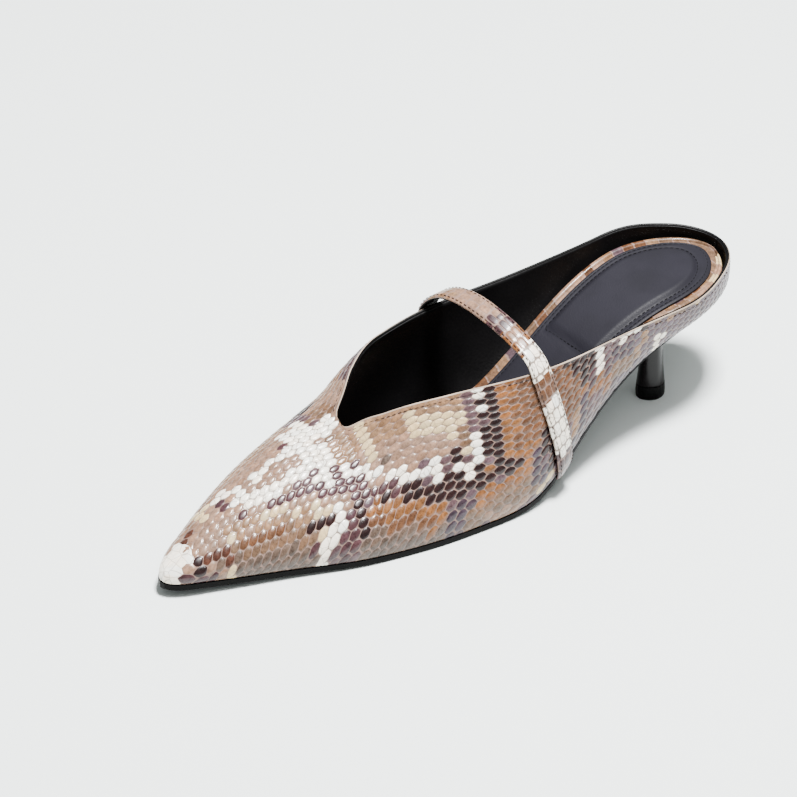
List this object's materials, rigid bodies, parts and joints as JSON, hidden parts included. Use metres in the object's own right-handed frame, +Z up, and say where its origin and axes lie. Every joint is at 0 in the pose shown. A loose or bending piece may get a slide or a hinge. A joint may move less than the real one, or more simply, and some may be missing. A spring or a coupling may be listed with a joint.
{
  "type": "kitten heel mule",
  "caption": "Left-foot pointed mule in embossed leather with a deep V throat, an instep strap, a padded sock and a low slim heel.",
  "frame": {"origin": "under the middle of the shoe's plan box, on the plane it stands on", "axes": "+Z up, toe towards -Y, wearer's left (the outer side) towards +X"},
  "size_m": [0.0778, 0.2679, 0.0714],
  "materials": {
    "embossed_leather": "glossy reptile-scale embossing in tan, cream and plum",
    "sock_leather": "smooth slate grey",
    "black_sole": "black, satin",
    "black_gloss": "glossy black",
    "black_rubber": "black, satin"
  },
  "bodies": {
    "root": {"upper": "embossed_leather", "strap": "embossed_leather", "insole": "embossed_leather", "sock": "sock_leather", "outsole": "black_sole", "heel": "black_gloss", "top_piece": "black_rubber"}
  },
  "joints": []
}
